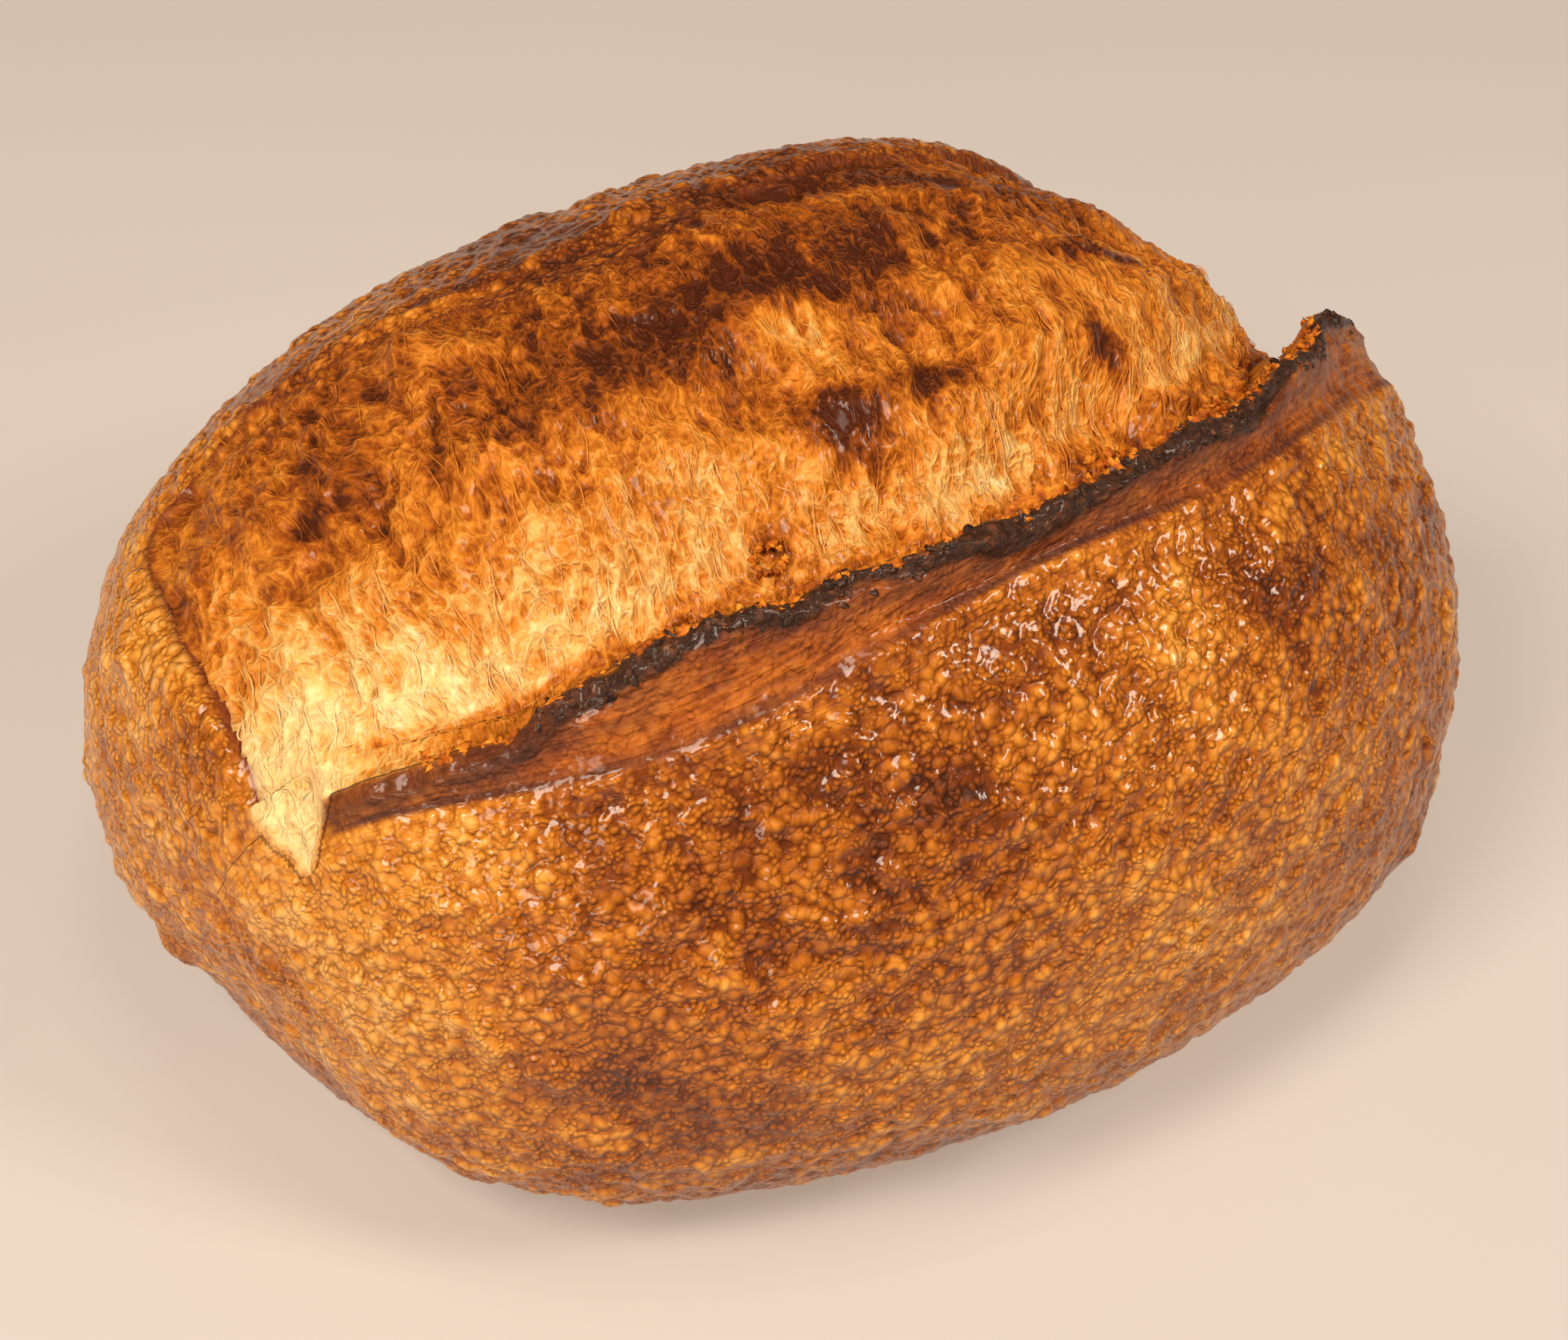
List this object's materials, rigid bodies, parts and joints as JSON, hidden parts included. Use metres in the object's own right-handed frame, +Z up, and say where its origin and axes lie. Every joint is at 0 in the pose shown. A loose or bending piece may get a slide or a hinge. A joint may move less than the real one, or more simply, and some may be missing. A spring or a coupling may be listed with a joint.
{
  "type": "country loaf",
  "caption": "Oval hand-shaped hearth loaf with a long slash opened into a raised, charred crust ear over torn crumb.",
  "frame": {"origin": "middle of the base, on the surface that the loaf stands on", "axes": "+X along the loaf towards the end where the ear stands up highest, -Y towards the smooth front crust, +Z up"},
  "size_m": [0.2254, 0.175, 0.1214],
  "materials": {
    "crust": "baked crust, amber to dark brown, blistered, with a soft gloss and a charred ear",
    "crumb": "torn open crumb, pale cream by the ear to deep golden brown at the back, rough and fibrous"
  },
  "bodies": {
    "root": {"loaf": "crust"}
  },
  "joints": []
}
